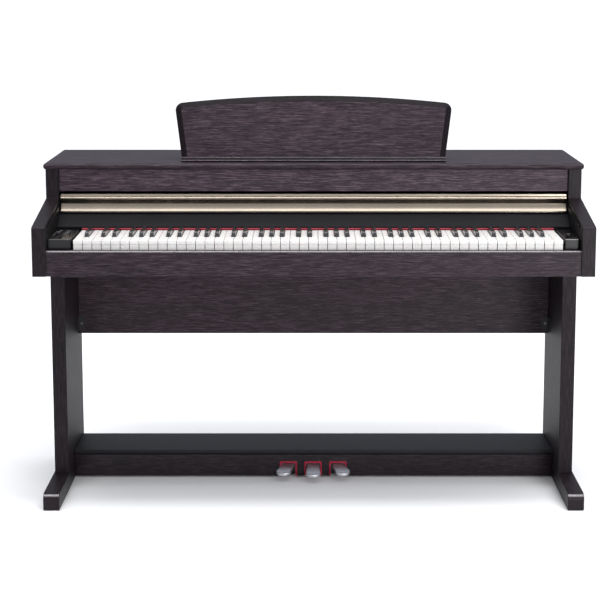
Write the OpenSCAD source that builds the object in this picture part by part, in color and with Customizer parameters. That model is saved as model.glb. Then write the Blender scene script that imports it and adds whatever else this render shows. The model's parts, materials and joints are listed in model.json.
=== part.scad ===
// Console digital piano on its stand, with 88 keys, a sliding key cover, a folding
// music rest and three pedals. Millimetres. X runs to the right as seen from the front,
// Y to the back and Z up, and the floor is Z = 0. Depths are measured back from the
// front of the arms.

/* [Overall] */
// Width of the lid, the widest part
lid_w = 1404; // [1396:2:1420]
// Depth from the front of the arms to the back edge of the lid
depth = 544; // [540:2:560]
// Height of the lid's top face
lid_top = 884; // [880:1:900]
// Thickness of the lid
lid_t = 17; // [14:1:18]
// Depth at which the lid's front edge lies
lid_front = 214; // [205:1:220]

/* [Case] */
// Outer width over the two side panels
case_w = 1396; // [1390:2:1396]
// Thickness of a side panel
side_t = 34; // [32:1:36]
// Depth of the side panels
case_d = 540; // [530:2:540]
// Height of the underside of the case
case_bottom = 626; // [620:1:630]
// Height of the arm's top at its front
arm_front_z = 750; // [748:1:756]
// Height of the arm's top where the upper side panel starts
arm_back_z = 791; // [788:1:796]
// Length of the low arm
arm_len = 232; // [226:1:234]
// Rounding of the arm's top front corner
arm_round = 8; // [4:1:12]
// Depth of the front panel's face
front_panel_d = 240; // [238:1:242]
// Thickness of the front panel
front_panel_t = 12; // [9:1:15]
// Height of the front panel's lower edge
front_panel_z = 808; // [806:1:812]
// Thickness of the back panel
back_panel_t = 6; // [3:1:6]
// Thickness of the keybed board
keybed_t = 18; // [15:1:20]
// Depth of the front rail's face
rail_front = 5; // [3:1:7]
// Thickness of the front rail
rail_t = 18; // [15:1:20]
// Height of the front rail's top edge
rail_top = 690; // [684:1:694]

/* [Keys] */
// Pitch of the white keys
white_w = 23.5; // [23.4:0.1:23.6]
// Space kept between tails for a black key
sharp_space = 12.7; // [12.3:0.1:13]
// Width of a black key
sharp_w = 10.5; // [10:0.1:10.8]
// Gap between two white keys
key_gap = 1; // [0.8:0.1:1.2]
// Height of the white keys' top
key_top = 713; // [711:1:714]
// Height of the black keys above the white ones
sharp_rise = 12; // [11:0.5:12]
// Depth of the front of the white keys
key_front = 30; // [28:1:32]
// Length of the wide head of a white key
head_len = 52; // [50:1:54]
// Depth of the front of the black keys
sharp_front = 86; // [84:1:88]
// Depth at which the raised part of the black keys ends
sharp_back = 185; // [180:1:186]
// Depth of the key pivot
pivot_d = 245; // [240:1:248]
// Height of the key pivot
pivot_z = 700; // [699:0.5:701]
// Radius of the pivot rod
pivot_r = 2.5; // [2:0.5:3]
// Shift of the keyboard to the right of the centre
keys_shift = 11; // [9:1:13]

/* [Key cover] */
// Slope of the cover's tracks
cover_slope = 9; // [8:0.5:10]
// Height of the cover board's middle behind the handle
cover_z = 777; // [775:1:779]
// Thickness of the cover board
cover_t = 4; // [3:0.5:5]
// Length of the cover board
cover_len = 235; // [225:5:240]
// Depth of the handle's front lip
handle_front = 232; // [231:1:233]
// Thickness of the handle from front to back
handle_t = 14; // [13:1:15]
// Height of the handle's lower edge
handle_bottom = 753; // [752.5:0.5:754]
// Height of the handle's top
handle_top = 801; // [798:1:803]

/* [Music rest] */
// Lean of the raised rest from upright
rest_lean = 14; // [12:1:18]
// Thickness of the rest board
rest_t = 16; // [14:1:18]
// Height of the board above its pivot, at the centre
rest_h = 166; // [160:1:180]
// Width of the board at its foot
rest_foot_w = 690; // [680:2:700]
// Width of the board near its top corners
rest_top_w = 727; // [720:1:740]
// Radius of the arched top edge
rest_arc_r = 3200; // [2800:100:4000]
// Radius of the top corners
rest_corner_r = 20; // [16:1:26]
// Depth of the rest's pivot
rest_pivot_d = 273.5; // [272:0.5:275]
// Height of the rest's pivot above the lid
rest_pivot_up = 6; // [6:0.5:7]
// Height at which the stays meet the board, measured along the board
stay_reach = 60; // [56:1:64]
// Depth of the stays' pivot
stay_pivot_d = 330; // [328:1:332]

/* [Stand] */
// Outer distance between the legs
leg_outer_w = 1388; // [1380:2:1390]
// Thickness of a leg
leg_t = 37; // [35:1:38]
// Depth of the front edge of a leg
leg_front = 244; // [240:1:250]
// Depth of the back edge of a leg
leg_back = 536; // [530:1:538]
// Outer distance between the feet
foot_outer_w = 1394; // [1390:2:1396]
// Width of a foot bar
foot_w = 42; // [40:1:44]
// Height of a foot bar above the floor
foot_top = 44; // [42:1:46]
// Depth of the foot's nose
foot_front = 65; // [60:1:70]
// Rounding of the foot's nose
foot_round = 17; // [12:1:20]
// Depth of the modesty panel's face
modesty_d = 484; // [480:1:488]
// Thickness of the modesty panel
modesty_t = 16; // [15:1:18]
// Height of the modesty panel's lower edge
modesty_z = 373; // [360:1:380]

/* [Pedals] */
// Depth of the pedal beam's face
beam_front = 342; // [338:1:346]
// Thickness of the pedal beam's front board
beam_t = 12; // [12:1:15]
// Height of the front board's top edge
beam_front_top = 64.6; // [64:0.1:66]
// Height of the top board
beam_top = 74.6; // [74:0.1:76]
// Depth of the back edge of the top board
beam_back = 515; // [505:1:520]
// Gap between the beam and the floor
beam_gap = 5; // [4:0.5:8]
// Distance between two pedals
pedal_pitch = 68; // [66:1:70]
// Height of a pedal's top face
pedal_z = 38; // [37:0.5:39]
// Thickness of a pedal
pedal_t = 10; // [8:0.5:11]
// Outward turn of the two outer pedals
pedal_splay = 14; // [10:1:16]
// Depth of the pedals' pivot
pedal_pivot_d = 430; // [420:1:435]

/* [Hidden] */
$fn = 48;
eps = 0.1;

panel_in = case_w / 2 - side_t;
lid_bottom = lid_top - lid_t;
bed_top = case_bottom + keybed_t;
key_left = keys_shift - 26 * white_w;
key_right = keys_shift + 26 * white_w;
sharp_top = key_top + sharp_rise;
tail_back = pivot_d + 9;
pin_play = 0.06;

tail_ce = (3 * white_w - 2 * sharp_space) / 3;
tail_fb = (4 * white_w - 3 * sharp_space) / 4;

cheek_top = 716;
cheek_back = 194;
cheek_wall = 4;
left_cheek = [-panel_in, -605];
right_cheek = [626, 661];

cover_edge = panel_in + 3.5;
cover_back = handle_front + handle_t;
groove_w = 7;
groove_depth = 5;

rest_pivot_z = lid_top + rest_pivot_up;
rest_back_v = 0.5;
rest_face_v = rest_back_v + rest_t;
rest_foot_u = -4.3;
stay_pivot_z = lid_top + 3;
stay_t = 3;
hinge_x = 250;
stay_x = 180;

leg_in = leg_outer_w / 2 - leg_t;
glide_t = 2;
pedal_x = -1;
slot_w = 44;
slot_top = 44;
felt_t = 2;
pedal_pivot_z = pedal_z - pedal_t / 2;
speaker_x = 430;
speaker_d = 385;

WOOD = [0.24, 0.15, 0.15];
WOOD_DARK = [0.15, 0.10, 0.11];
BLACK = [0.06, 0.06, 0.07];
GOLD = [0.80, 0.73, 0.58];
IVORY = [0.93, 0.93, 0.91];
STEEL = [0.72, 0.73, 0.76];
FELT = [0.62, 0.06, 0.12];
BOARD_GREEN = [0.10, 0.30, 0.18];

// Keys count from 0, the lowest A, to 87, the highest C.
middle_first = 39;
middle_last = 50;
PITCH_NAMES = [
    "c", "c_sharp", "d", "d_sharp", "e", "f", "f_sharp", "g", "g_sharp", "a", "a_sharp", "b"
];
KEY_NODES = [for (n = [middle_first:middle_last]) str("key_", PITCH_NAMES[pitch(n)], "_4")];
CASE_NODES = [
    "left_side_panel", "right_side_panel", "top_lid", "front_panel", "fallboard", "back_panel",
    "keybed", "front_rail", "left_cheek_block", "right_cheek_block", "felt_strip", "key_frame",
    "main_board", "power_supply", "speakers", "speaker_grilles", "rest_hinges", "jack_blocks"
];
STAND_NODES = [
    "left_leg", "right_leg", "left_foot", "right_foot", "foot_glides", "modesty_panel",
    "corner_brackets", "pedal_front_board", "pedal_top_board", "pedal_felts", "pedal_frame", "screws"
];
MOVING_NODES = [
    "key_cover", "cover_handle", "music_rest", "rest_ledge", "rest_leaves", "rest_stays",
    "left_pedal", "middle_pedal", "right_pedal", "volume_slider", "power_button",
    "voice_button", "tempo_button", "record_button",
    "low_white_keys", "low_black_keys", "high_white_keys", "high_black_keys"
];

// ---- helpers ----

function back(d) = d - depth / 2;

// A range of a given half width around a middle, and a range shifted by a middle.
function around(mid, half) = [mid - half, mid + half];
function shifted(mid, range) = [mid + range[0], mid + range[1]];

// Boards with square edges, from low and high corners; y is the depth.
module block(x, y, z) {
    translate([x[0], back(y[0]), z[0]]) cube([x[1] - x[0], y[1] - y[0], z[1] - z[0]]);
}

// A profile drawn as depth and height, run along X.
module along_x(x) {
    translate([x[0], back(0), 0]) rotate([90, 0, 90]) linear_extrude(x[1] - x[0]) children();
}

module both_sides() {
    children();
    mirror([1, 0, 0]) children();
}

// A round bar along X at a depth and height.
module bar_x(x, d, z, r) {
    translate([x[0], back(d), z]) rotate([0, 90, 0]) cylinder(r = r, h = x[1] - x[0]);
}

function arc(centre, r, a0, a1, steps) =
    [for (i = [0:steps]) let (a = a0 + (a1 - a0) * i / steps) centre + r * [cos(a), sin(a)]];

// ---- case ----

// Cuts a corner of a profile back to an arc; out is a point beyond the corner, and low and
// high are points just outside the arc's two ends.
module corner_cut(out, low, high, centre, r) {
    difference() {
        polygon([out, low, centre, high]);
        translate(centre) circle(r);
    }
}

module side_profile() {
    rise = atan((arm_back_z - arm_front_z) / arm_len);
    round_z = arm_front_z + arm_round * tan(rise) - arm_round / cos(rise);
    centre = [arm_round, round_z];
    difference() {
        polygon([
            [0, case_bottom], [0, arm_front_z], [arm_len, arm_back_z], [arm_len, lid_bottom],
            [case_d, lid_bottom], [case_d, case_bottom]
        ]);
        corner_cut([-1, arm_front_z + 1], [-1, round_z],
                   centre + (arm_round + 1) * [-sin(rise), cos(rise)], centre, arm_round);
    }
}

// Height of the middle of the key cover's track.
function track_z(d) = cover_z + (d - cover_back) * tan(cover_slope);

// A sloping band around the cover's track.
function track_band(d0, d1, h) = [
    [d0, track_z(d0) - h / 2], [d1, track_z(d1) - h / 2],
    [d1, track_z(d1) + h / 2], [d0, track_z(d0) + h / 2]
];

module side_panel() {
    color(WOOD)
    difference() {
        along_x([panel_in, case_w / 2]) side_profile();
        along_x([panel_in - eps, panel_in + groove_depth]) polygon(track_band(38, 520, groove_w));
    }
}

module left_side_panel() {
    mirror([1, 0, 0]) side_panel();
}

module right_side_panel() {
    side_panel();
}

// The front and side edges of the lid are full rounds.
module top_lid() {
    r = lid_t / 2;
    x = lid_w / 2 - r;
    z = lid_top - r;
    color(WOOD) {
        block([-x, x], [lid_front + r, depth], [lid_bottom, lid_top]);
        bar_x([-x, x], lid_front + r, z, r);
        both_sides() {
            translate([x, back(depth), z]) rotate([90, 0, 0]) cylinder(r = r, h = depth - lid_front - r);
            translate([x, back(lid_front + r), z]) sphere(r);
        }
    }
}

module front_panel() {
    color(WOOD)
    block([-panel_in, panel_in], [front_panel_d, front_panel_d + front_panel_t],
          [front_panel_z, lid_bottom]);
}

// The sloping black board behind the keys.
module fallboard() {
    color(BLACK)
    along_x([-panel_in, panel_in])
    polygon([
        [195, cheek_top], [195, 722], [237, 750.5], [handle_front + 11, 750.5],
        [handle_front + 11, 742], [203, cheek_top]
    ]);
}

module back_panel() {
    color(WOOD_DARK)
    block([-panel_in, panel_in], [case_d - back_panel_t, case_d], [case_bottom, lid_bottom]);
}

module keybed() {
    color(WOOD)
    difference() {
        block([-panel_in, panel_in], [rail_front + rail_t, case_d - back_panel_t],
              [case_bottom, bed_top]);
        for (side = [-1, 1])
            translate([side * speaker_x, back(speaker_d), case_bottom - 1])
                cylinder(r = 62, h = keybed_t + 2);
    }
}

module front_rail() {
    chamfer = 2.5;
    color(WOOD)
    along_x([-panel_in, panel_in])
    polygon([
        [rail_front, case_bottom], [rail_front, rail_top - chamfer], [rail_front + chamfer, rail_top],
        [rail_front + rail_t, rail_top], [rail_front + rail_t, case_bottom]
    ]);
}

// A hollow block with its top face at cheek_top.
module cheek_block(x) {
    difference() {
        block(x, [key_front, cheek_back], [bed_top, cheek_top]);
        block([x[0] + cheek_wall, x[1] - cheek_wall], [key_front + cheek_wall, cheek_back - cheek_wall],
              [bed_top - 1, cheek_top - cheek_wall]);
    }
}

// ---- controls ----

control_x = -628;
slider_x = -650;
slider_mid = 118;
slider_travel = 50;
button_size = [12, 8];
button_play = 0.4;
VOICE_D = 100;
TEMPO_D = 125;
RECORD_D = 150;
power_x = 646;
power_d = 104;
power_r = 5;

module button_hole(d) {
    block(around(control_x, button_size[0] / 2 + button_play),
          around(d, button_size[1] / 2 + button_play), [cheek_top - 6, cheek_top + 1]);
}

module left_cheek_block() {
    slot = slider_travel + 10;
    color(BLACK)
    difference() {
        cheek_block(left_cheek);
        for (d = [VOICE_D, TEMPO_D, RECORD_D]) button_hole(d);
        block(around(slider_x, 1.8), around(slider_mid, slot / 2), [cheek_top - 6, cheek_top + 1]);
    }
}

module right_cheek_block() {
    color(BLACK)
    difference() {
        cheek_block(right_cheek);
        translate([power_x, back(power_d), cheek_top - 6]) cylinder(r = power_r + button_play, h = 8);
    }
}

// A cap that stands a little proud, with a wider foot under the block's top wall.
module panel_button(d) {
    color([0.30, 0.30, 0.32]) {
        block(around(control_x, button_size[0] / 2), around(d, button_size[1] / 2),
              [cheek_top - 9, cheek_top + 2]);
        block(around(control_x, button_size[0] / 2 + 1.5), around(d, button_size[1] / 2 + 1.5),
              [cheek_top - 9, cheek_top - cheek_wall - 0.5]);
    }
}

module voice_button() {
    panel_button(VOICE_D);
}

module tempo_button() {
    panel_button(TEMPO_D);
}

module record_button() {
    panel_button(RECORD_D);
}

module power_button() {
    color([0.55, 0.55, 0.57])
    translate([power_x, back(power_d), cheek_top - 9]) {
        cylinder(r = power_r, h = 11);
        cylinder(r = power_r + 1.5, h = 9 - cheek_wall - 0.5);
    }
}

module volume_slider() {
    color([0.30, 0.30, 0.32]) {
        block(around(slider_x, 4.5), around(slider_mid, 4), [cheek_top + 0.5, cheek_top + 5]);
        block(around(slider_x, 1.2), around(slider_mid, 3), [cheek_top - 10, cheek_top + 0.5]);
    }
}

// ---- keys ----

function pitch(n) = (n + 9) % 12;
function octave_x(n) = key_left + (7 * floor((n + 9) / 12) - 5) * white_w;
function is_sharp(n) = len(search(pitch(n), [1, 3, 6, 8, 10])) > 0;

// Index of a white pitch among the seven white keys of an octave.
function white_index(p) = p < 5 ? p / 2 : (p + 1) / 2;

// Left edge of the tail of white key i of an octave.
function tail_left(i) = i < 3
    ? i * (tail_ce + sharp_space)
    : 3 * white_w + (i - 3) * (tail_fb + sharp_space);
function tail_width(i) = i < 3 ? tail_ce : tail_fb;

// Middle of the space for a black key.
function sharp_mid(p) = p < 5
    ? (p + 1) / 2 * tail_ce + p / 2 * sharp_space
    : 3 * white_w + (p - 4) / 2 * tail_fb + (p - 5) / 2 * sharp_space;

module key_bore() {
    bar_x([key_left - 5, key_right + 5], pivot_d, pivot_z, pivot_r + pin_play);
}

// The lowest and the highest key have no black key beyond them, so that side of the tail is full.
module white_key(n) {
    i = white_index(pitch(n));
    x0 = octave_x(n) + i * white_w + key_gap / 2;
    x1 = x0 + white_w - key_gap;
    t0 = n == 0 ? x0 : max(x0, octave_x(n) + tail_left(i));
    t1 = n == 87 ? x1 : min(x1, octave_x(n) + tail_left(i) + tail_width(i));
    head_back = key_front + head_len;
    color(IVORY)
    difference() {
        union() {
            block([x0, x1], [key_front, head_back], [key_top - 12, key_top]);
            block([x0, x1], [key_front, key_front + 3], [key_top - 27, key_top - 12]);
            block([t0, t1], [head_back - 1, tail_back], [key_top - 12, key_top]);
            block([t0, t1], [pivot_d - 9, tail_back], [pivot_z - 8, key_top - 12]);
        }
        key_bore();
    }
}

module black_key(n) {
    mid = octave_x(n) + sharp_mid(pitch(n));
    color(BLACK)
    difference() {
        along_x(around(mid, sharp_w / 2))
        polygon([
            [sharp_front, key_top - 12], [sharp_front, key_top + 1], [sharp_front + 5, sharp_top],
            [sharp_back, sharp_top], [sharp_back, key_top - 1], [tail_back, key_top - 1],
            [tail_back, pivot_z - 8], [pivot_d - 9, pivot_z - 8], [pivot_d - 9, key_top - 12]
        ]);
        key_bore();
    }
}

module key(n) {
    if (is_sharp(n)) black_key(n);
    else white_key(n);
}

module low_white_keys() {
    for (n = [0:middle_first - 1]) if (!is_sharp(n)) white_key(n);
}

module low_black_keys() {
    for (n = [0:middle_first - 1]) if (is_sharp(n)) black_key(n);
}

module high_white_keys() {
    for (n = [middle_last + 1:87]) if (!is_sharp(n)) white_key(n);
}

module high_black_keys() {
    for (n = [middle_last + 1:87]) if (is_sharp(n)) black_key(n);
}

module felt_strip() {
    color(FELT)
    block([key_left, key_right], [187, 195], [key_top + 1, key_top + 8.6]);
}

// Base, front stop rail, back wall and end brackets that hold the pivot rod.
module key_frame() {
    low = key_left - 20;
    high = key_right + 20;
    color(STEEL) {
        block([key_left, key_right], [60, 262], [bed_top, bed_top + 6]);
        block([key_left, key_right], [60, 72], [bed_top + 6, 690]);
        block([low, high], [257, 262], [bed_top, 706]);
        for (x = [[low, key_left - 4], [key_right + 4, high]]) block(x, [235, 262], [bed_top, 708]);
        bar_x([low + 1, high - 1], pivot_d, pivot_z, pivot_r);
    }
}

// ---- inside the case ----

module main_board() {
    z = bed_top + 12;
    color(BOARD_GREEN) {
        block([-160, 80], [300, 440], [z, z + 1.6]);
        for (x = [-148, 68], d = [312, 428])
            translate([x, back(d), bed_top]) cylinder(r = 4, h = 12);
        for (x = [-120, -60, 0]) block([x, x + 34], [340, 374], [z + 1.6, z + 5]);
        for (x = [-140:20:60]) translate([x, back(420), z + 1.6]) cylinder(r = 5, h = 12);
    }
}

module power_supply() {
    color(STEEL) {
        block([170, 290], [330, 420], [bed_top, bed_top + 36]);
        for (x = [180:10:280]) block([x, x + 4], [340, 410], [bed_top + 36, bed_top + 40]);
    }
}

module speaker() {
    cylinder(r = 74, h = 5);
    translate([0, 0, 5]) cylinder(r1 = 64, r2 = 32, h = 32);
    translate([0, 0, 37]) cylinder(r = 38, h = 20);
}

module speakers() {
    color(BLACK)
    for (side = [-1, 1]) translate([side * speaker_x, back(speaker_d), bed_top]) speaker();
}

module speaker_grilles() {
    color(BLACK)
    for (side = [-1, 1])
        translate([side * speaker_x, back(speaker_d), case_bottom - 3])
        difference() {
            cylinder(r = 70, h = 3);
            for (i = [-4:4]) {
                half = sqrt(58 * 58 - i * i * 144);
                translate([-half, i * 12 - 3, -1]) cube([2 * half, 6, 5]);
            }
        }
}

// Headphone block under the front of the keybed and power inlet block at the back.
module jack_blocks() {
    color(BLACK) {
        difference() {
            block([-640, -580], [100, 150], [case_bottom - 20, case_bottom]);
            for (x = [-625, -595])
                translate([x, back(99), case_bottom - 10]) rotate([-90, 0, 0]) cylinder(r = 3.25, h = 31);
        }
        difference() {
            block([-560, -500], [506, 534], [case_bottom - 20, case_bottom]);
            translate([-530, back(515), case_bottom - 10]) rotate([-90, 0, 0]) cylinder(r = 2.8, h = 20);
        }
    }
}

// ---- key cover ----

module key_cover() {
    far = cover_back + cover_len * cos(cover_slope);
    color(WOOD_DARK)
    along_x([-cover_edge, cover_edge]) polygon(track_band(cover_back, far, cover_t / cos(cover_slope)));
}

// A bead along the top, a groove under it and a cove that flares forward to the lip.
module handle_profile() {
    bead_r = 5.5;
    cove_r = 34;
    cove_top = handle_top - 2 * bead_r - 5;
    chord = [10, cove_top - handle_bottom - 3];
    mid = [handle_front, handle_bottom + 3] + chord / 2;
    reach = sqrt(cove_r * cove_r - chord * chord / 4);
    cove = mid + reach * [-chord[1], chord[0]] / norm(chord);
    difference() {
        translate([handle_front, handle_bottom]) square([handle_t, handle_top - handle_bottom - bead_r]);
        translate(cove) circle(cove_r, $fn = 96);
        translate([handle_front - 1, cove_top]) square([11, 2 * bead_r + 6]);
    }
    translate([handle_front + bead_r + 1, handle_top - bead_r]) circle(bead_r);
    translate([handle_front + bead_r + 1, handle_top - 2 * bead_r])
        square([handle_t - bead_r - 1, 2 * bead_r]);
}

module cover_handle() {
    color(GOLD)
    along_x([4 - panel_in, panel_in - 4]) handle_profile();
}

// ---- music rest ----

// Moves to the rest's pivot: Y runs up the board and Z out of its face.
module on_rest() {
    translate([0, back(rest_pivot_d), rest_pivot_z]) rotate([90 - rest_lean, 0, 0]) children();
}

// Right half of the board's outline, from the foot to the middle of the top.
function rest_half_outline() =
    let (
        foot = [rest_foot_w / 2, 0],
        side = [(rest_top_w - rest_foot_w) / 2, 0.8 * rest_h],
        up = side / norm(side),
        inward = [-up[1], up[0]],
        arc_mid = [0, rest_h - rest_arc_r],
        start = foot + rest_corner_r * inward - arc_mid,
        run = -(start * up) + sqrt(pow(start * up, 2) - start * start + pow(rest_arc_r - rest_corner_r, 2)),
        corner = arc_mid + start + run * up,
        turn = atan2(corner[1] - arc_mid[1], corner[0])
    )
    concat(
        [foot + rest_foot_u * up / up[1]],
        arc(corner, rest_corner_r, atan2(-inward[1], -inward[0]), turn, 12),
        arc(arc_mid, rest_arc_r, turn, 90, 12)
    );

module music_rest() {
    half = rest_half_outline();
    left = [for (i = [len(half) - 1:-1:0]) [-half[i][0], half[i][1]]];
    color(WOOD)
    difference() {
        on_rest() translate([0, 0, rest_back_v]) linear_extrude(rest_t) polygon(concat(half, left));
        for (x = [-hinge_x, hinge_x]) bar_x(shifted(x, [-10, 18]), rest_pivot_d, rest_pivot_z, 4);
    }
}

// Depth of the board's face at a height.
function rest_face_d(z) =
    rest_pivot_d + (z - rest_pivot_z) * tan(rest_lean) - rest_face_v / cos(rest_lean);

module rest_ledge() {
    low = lid_top + 1;
    high = lid_top + 13;
    half = rest_foot_w / 2 + 1;
    color(WOOD)
    along_x([-half, half])
    polygon([[245, low], [245, high], [rest_face_d(high), high], [rest_face_d(low), low]]);
}

// Fixed halves of the rest's two hinges, with their pins, and the ears that hold the stays' pins.
module rest_hinges() {
    color(STEEL) {
        for (x = [-hinge_x, hinge_x]) {
            block([x - 9, x], shifted(rest_pivot_d, [-1, 3]), [lid_top, rest_pivot_z]);
            bar_x([x - 9, x], rest_pivot_d, rest_pivot_z, 3);
            bar_x([x - 8, x + 9], rest_pivot_d, rest_pivot_z, 1.5);
            block([x - 9, x], shifted(rest_pivot_d, [2, 28]), [lid_top, lid_top + 1.2]);
        }
        for (x = [-stay_x, stay_x]) {
            for (ear = [[-5.4, -3.4], [3.4, 5.4]])
                block(shifted(x, ear), around(stay_pivot_d, 4), [lid_top, stay_pivot_z + 2]);
            bar_x(around(x, 4), stay_pivot_d, stay_pivot_z, 1);
        }
    }
}

// Moving halves of the hinges, screwed to the back of the board.
module rest_leaves() {
    color(STEEL)
    for (x = [-hinge_x, hinge_x])
        difference() {
            union() {
                bar_x([x + 0.4, x + 8], rest_pivot_d, rest_pivot_z, 3);
                on_rest() translate([x + 0.4, 0, rest_back_v - 1.2]) cube([16, 34, 1.2]);
            }
            bar_x([x, x + 10], rest_pivot_d, rest_pivot_z, 1.5 + pin_play);
        }
}

// The tip of a stay stands this far behind the board's back face.
stay_gap = 0.5;
stay_tip = [
    rest_pivot_d + stay_reach * sin(rest_lean) + (stay_t / 2 + stay_gap - rest_back_v) * cos(rest_lean),
    rest_pivot_z + stay_reach * cos(rest_lean) - (stay_t / 2 + stay_gap - rest_back_v) * sin(rest_lean)
];
stay_run = stay_tip - [stay_pivot_d, stay_pivot_z];
stay_angle = atan2(stay_run[1], stay_run[0]);

module rest_stays() {
    color(STEEL)
    for (x = [-stay_x, stay_x])
        translate([x, back(stay_pivot_d), stay_pivot_z]) rotate([stay_angle, 0, 0])
        rotate([90, 0, 90])
        translate([0, 0, -3])
        linear_extrude(6)
        difference() {
            union() {
                circle(2.4);
                translate([0, -stay_t / 2]) square([norm(stay_run), stay_t]);
                translate([norm(stay_run), 0]) circle(stay_t / 2);
            }
            circle(1 + pin_play);
        }
}

// ---- stand ----

module leg() {
    color(WOOD)
    block([leg_in, leg_outer_w / 2], [leg_front, leg_back], [foot_top, case_bottom]);
}

module left_leg() {
    mirror([1, 0, 0]) leg();
}

module right_leg() {
    leg();
}

module foot_profile() {
    centre = [foot_front + foot_round, foot_top - foot_round];
    difference() {
        translate([foot_front, glide_t]) square([leg_back - foot_front, foot_top - glide_t]);
        corner_cut([foot_front - 1, foot_top + 1], [foot_front - 1, centre[1]],
                   [centre[0], foot_top + 1], centre, foot_round);
    }
}

module foot() {
    color(WOOD)
    along_x([foot_outer_w / 2 - foot_w, foot_outer_w / 2]) foot_profile();
}

module left_foot() {
    mirror([1, 0, 0]) foot();
}

module right_foot() {
    foot();
}

module foot_glides() {
    color(BLACK)
    both_sides()
    for (d = [foot_front + 30, leg_back - 30])
        translate([foot_outer_w / 2 - foot_w / 2, back(d), 0]) cylinder(r = 14, h = glide_t);
}

module modesty_panel() {
    color(WOOD)
    block([-leg_in, leg_in], [modesty_d, modesty_d + modesty_t], [modesty_z, case_bottom]);
}

bracket_z = 402;
bracket_w = 18;

// Angle pieces in the lower corners between the legs and the modesty panel.
module corner_brackets() {
    z = around(bracket_z, 20);
    color(BLACK)
    both_sides() {
        block([leg_in - bracket_w, leg_in], [modesty_d - 2, modesty_d], z);
        block([leg_in - 2, leg_in], [modesty_d - bracket_w, modesty_d], z);
    }
}

function pedal_mid(i) = pedal_x + i * pedal_pitch;

// A slot with rounded top corners, open at the bottom.
module slot_shape(w, top) {
    r = 5;
    translate([-w / 2, 0]) square([w, top - r]);
    translate([r - w / 2, 0]) square([w - 2 * r, top]);
    for (side = [-1, 1]) translate([side * (w / 2 - r), top - r]) circle(r);
}

// Runs a shape drawn as X and height through a depth range.
module through(d) {
    translate([0, back(d[1]), 0]) rotate([90, 0, 0]) linear_extrude(d[1] - d[0]) children();
}

module pedal_front_board() {
    color(WOOD)
    difference() {
        block([-leg_in, leg_in], [beam_front, beam_front + beam_t], [beam_gap, beam_front_top]);
        both_sides()
            block([foot_outer_w / 2 - foot_w, leg_in + 1], [beam_front - 1, beam_front + beam_t + 1],
                  [beam_gap - 1, foot_top]);
        through([beam_front - 1, beam_front + beam_t + 1])
            for (i = [-1:1])
                translate([pedal_mid(i), 0]) slot_shape(slot_w + 2 * felt_t, slot_top + felt_t);
    }
}

module pedal_felts() {
    color(FELT)
    through([beam_front, beam_front + beam_t])
        for (i = [-1:1])
            translate([pedal_mid(i), 0])
            difference() {
                slot_shape(slot_w + 2 * felt_t, slot_top + felt_t);
                slot_shape(slot_w, slot_top);
                translate([-slot_w, -1]) square([2 * slot_w, beam_gap + 1]);
            }
}

module pedal_top_board() {
    color(WOOD_DARK)
    block([-leg_in, leg_in], [beam_front + beam_t, beam_back], [beam_top - 12, beam_top]);
}

// Floor plate, upstands and the rod on which the pedals turn.
module pedal_frame() {
    reach = pedal_pitch + 32;
    color(STEEL) {
        block(around(pedal_x, reach), [362, 452], [beam_gap + 1, beam_gap + 4]);
        for (i = [-1.5:1.5])
            block(around(pedal_x + i * 62, 1.5), around(pedal_pivot_d, 15),
                  [beam_gap + 4, beam_top - 12]);
        bar_x(around(pedal_x, 94), pedal_pivot_d, pedal_pivot_z, 3);
    }
}

// A flat pedal that widens to a round tip, on a lever with its pivot behind the beam.
module pedal(x, splay, reach) {
    root_w = 30;
    tip_w = 40;
    bend = beam_front + 10;
    tip_r = tip_w / 2;
    color(STEEL)
    difference() {
        union() {
            block(around(x, 11), [bend - 4, pedal_pivot_d], [pedal_z - pedal_t, pedal_z]);
            bar_x(around(x, 11), pedal_pivot_d, pedal_pivot_z, 8);
            translate([x, back(bend), pedal_z - pedal_t]) rotate([0, 0, splay]) linear_extrude(pedal_t) {
                polygon([
                    [-root_w / 2, 4], [root_w / 2, 4],
                    [tip_r, tip_r - reach - 10], [-tip_r, tip_r - reach - 10]
                ]);
                translate([0, tip_r - reach - 10]) circle(tip_r);
            }
        }
        bar_x(around(x, 12), pedal_pivot_d, pedal_pivot_z, 3 + pin_play);
    }
}

module left_pedal() {
    pedal(pedal_mid(-1), -pedal_splay, 60);
}

module middle_pedal() {
    pedal(pedal_mid(0), 0, 72);
}

module right_pedal() {
    pedal(pedal_mid(1), pedal_splay, 60);
}

// ---- fasteners ----

// A low round head with a cross recess, its underside at Z = 0.
module screw_head(r) {
    difference() {
        cylinder(r = r, h = 1.8);
        for (a = [0, 90]) rotate([0, 0, a]) translate([-r / 2, -0.5, 0.9]) cube([r, 1, 1]);
    }
}

module screws() {
    color(STEEL) {
        both_sides()
            translate([leg_in - 8, back(modesty_d - 2), bracket_z]) rotate([90, 0, 0]) screw_head(4);
        for (x = [-600:200:600], z = [case_bottom + 12, lid_bottom - 14])
            translate([x, back(case_d), z]) rotate([-90, 0, 0]) screw_head(4);
        both_sides()
            for (d = [290, 470])
                translate([leg_in - 30, back(d), case_bottom]) mirror([0, 0, 1]) screw_head(6);
    }
}

// ---- nodes ----

left_side_panel();
right_side_panel();
top_lid();
front_panel();
fallboard();
back_panel();
keybed();
front_rail();
left_cheek_block();
right_cheek_block();
felt_strip();
key_frame();
main_board();
power_supply();
speakers();
speaker_grilles();
rest_hinges();
jack_blocks();
left_leg();
right_leg();
left_foot();
right_foot();
foot_glides();
modesty_panel();
corner_brackets();
pedal_front_board();
pedal_top_board();
pedal_felts();
pedal_frame();
screws();
key_cover();
cover_handle();
music_rest();
rest_ledge();
rest_leaves();
rest_stays();
left_pedal();
middle_pedal();
right_pedal();
volume_slider();
power_button();
voice_button();
tempo_button();
record_button();
low_white_keys();
low_black_keys();
high_white_keys();
high_black_keys();
for (n = [middle_first:middle_last])
    key(n);
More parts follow.
